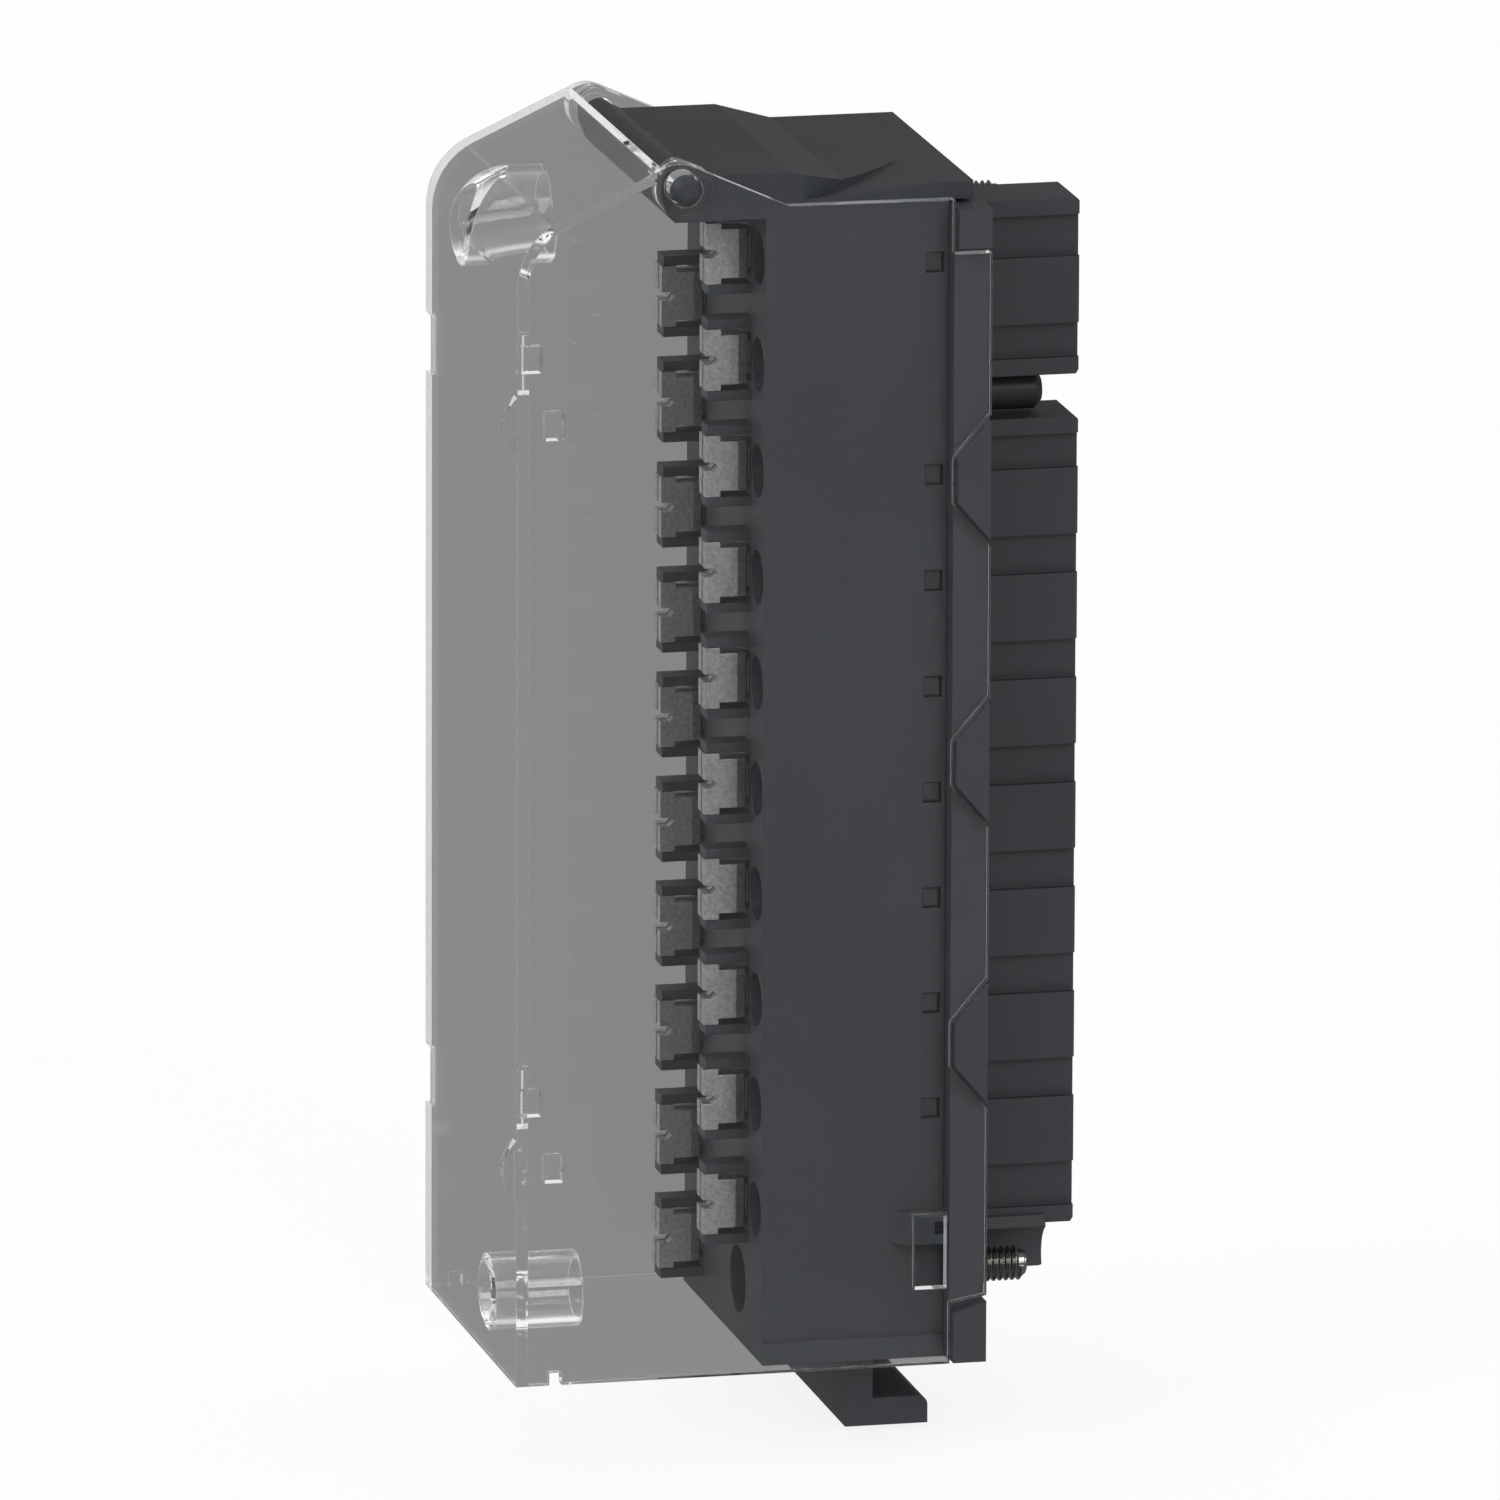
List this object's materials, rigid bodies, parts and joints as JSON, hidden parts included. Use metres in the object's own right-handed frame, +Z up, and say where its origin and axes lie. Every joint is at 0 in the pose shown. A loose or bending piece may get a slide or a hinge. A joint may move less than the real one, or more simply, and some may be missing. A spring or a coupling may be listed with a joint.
{
  "type": "removable terminal block",
  "caption": "Removable plug-in terminal block with two columns of screw wire clamps, captive fixing screws, a rear plug and a hinged clear cover",
  "frame": {"origin": "midway between the two fixing screws, on the rear face of the flange", "axes": "+X to the side whose terminals sit higher, +Y out of the rear face along the fixing screws and the plug, +Z up to the cover's hinge"},
  "size_m": [0.0298, 0.0442, 0.0931],
  "materials": {
    "dark_plastic": "fine-grained dark grey moulding",
    "clear_plastic": "clear polished moulding",
    "clamp_metal": "dull plated strip",
    "contact_metal": "tinned folded strip",
    "zinc_steel": "zinc plated",
    "screw_steel": "bright plated thread",
    "black_plastic": "glossy black"
  },
  "bodies": {
    "block": {"housing": "dark_plastic", "rear_cover": "dark_plastic", "guide_pin": "black_plastic", "clamp_screws": "zinc_steel", "wire_clamp_01": "clamp_metal", "wire_clamp_02": "clamp_metal", "wire_clamp_03": "clamp_metal", "wire_clamp_04": "clamp_metal", "wire_clamp_05": "clamp_metal", "wire_clamp_06": "clamp_metal", "wire_clamp_07": "clamp_metal", "wire_clamp_08": "clamp_metal", "wire_clamp_09": "clamp_metal", "wire_clamp_10": "clamp_metal", "wire_clamp_11": "clamp_metal", "wire_clamp_12": "clamp_metal", "wire_clamp_13": "clamp_metal", "wire_clamp_14": "clamp_metal", "wire_clamp_15": "clamp_metal", "wire_clamp_16": "clamp_metal", "wire_clamp_17": "clamp_metal", "wire_clamp_18": "clamp_metal", "wire_clamp_19": "clamp_metal", "wire_clamp_20": "clamp_metal", "contact_01": "contact_metal", "contact_02": "contact_metal", "contact_03": "contact_metal", "contact_04": "contact_metal", "contact_05": "contact_metal", "contact_06": "contact_metal", "contact_07": "contact_metal", "contact_08": "contact_metal", "contact_09": "contact_metal", "contact_10": "contact_metal", "contact_11": "contact_metal", "contact_12": "contact_metal", "contact_13": "contact_metal", "contact_14": "contact_metal", "contact_15": "contact_metal", "contact_16": "contact_metal", "contact_17": "contact_metal", "contact_18": "contact_metal", "contact_19": "contact_metal", "contact_20": "contact_metal"},
    "cover": {"clear_cover": "clear_plastic"},
    "upper_screw": {"upper_fixing_screw": "screw_steel"},
    "lower_screw": {"lower_fixing_screw": "screw_steel"}
  },
  "joints": [
    {"name": "cover_hinge", "type": "hinge", "parent": "block", "child": "cover", "pos_m": [0, -0.02195, 0.04325], "axis": [-1, 0, 0], "range_deg": [0, 105]},
    {"name": "upper_screw_turn", "type": "hinge", "parent": "block", "child": "upper_screw", "pos_m": [-0.0047, 0, 0.03768], "axis": [0, 1, 0], "continuous": true},
    {"name": "lower_screw_turn", "type": "hinge", "parent": "block", "child": "lower_screw", "pos_m": [0.0047, 0, -0.03768], "axis": [0, 1, 0], "continuous": true}
  ]
}
